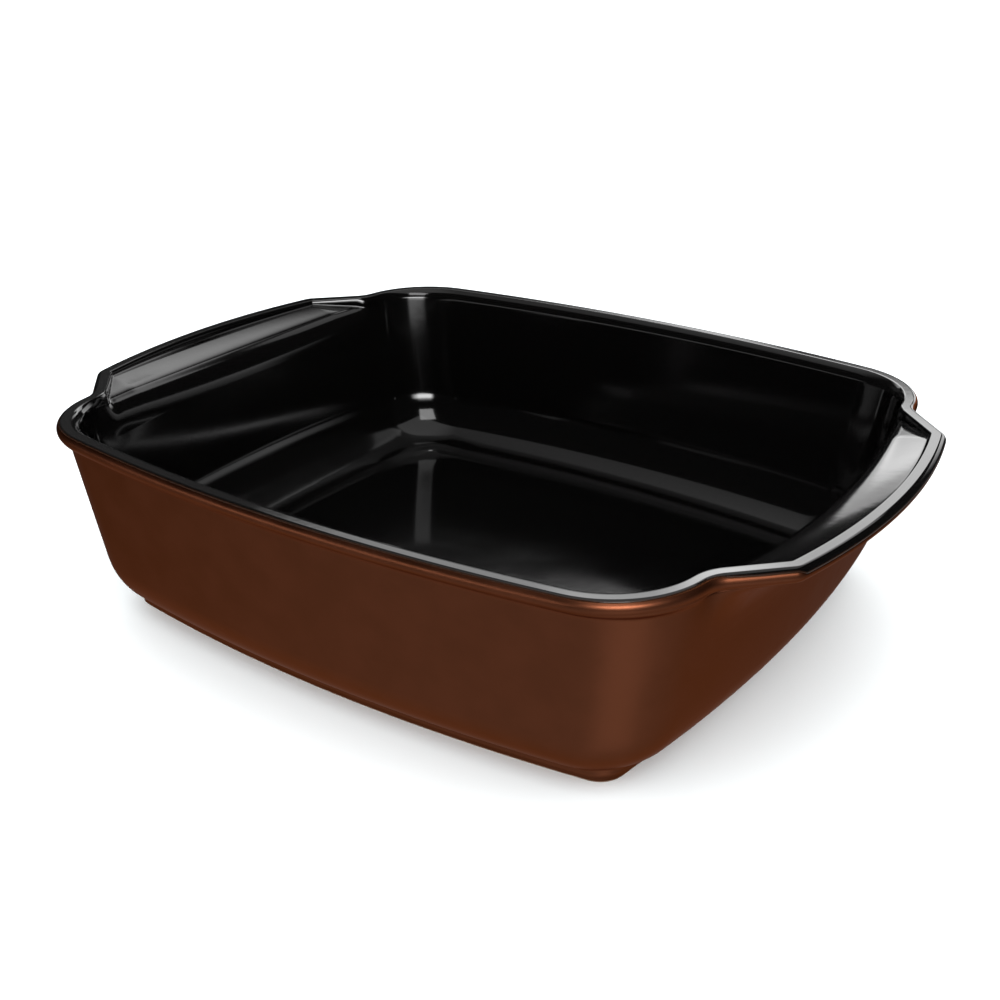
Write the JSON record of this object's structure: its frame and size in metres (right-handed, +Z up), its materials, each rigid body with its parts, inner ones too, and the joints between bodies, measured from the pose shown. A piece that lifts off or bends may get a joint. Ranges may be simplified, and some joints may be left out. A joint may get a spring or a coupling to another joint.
{
  "type": "ceramic baking dish",
  "caption": "Deep rectangular stoneware baking dish with bowed sides, rounded corners, a scooped lip at each end for a handle and a low foot ring, glazed black inside and copper outside",
  "frame": {"origin": "centre of the outline, on the surface that the foot stands on", "axes": "+X along the dish from one handle to the other, +Y across it, +Z up out of the dish"},
  "size_m": [0.3742, 0.2928, 0.0907],
  "materials": {
    "bare_clay": "matte",
    "black_glaze": "gloss",
    "copper_glaze": "satin",
    "base_copper_glaze": "satin"
  },
  "bodies": {
    "root": {"stoneware_body": "bare_clay", "inner_glaze": "black_glaze", "outer_glaze": "copper_glaze", "base_glaze": "base_copper_glaze"}
  },
  "joints": []
}
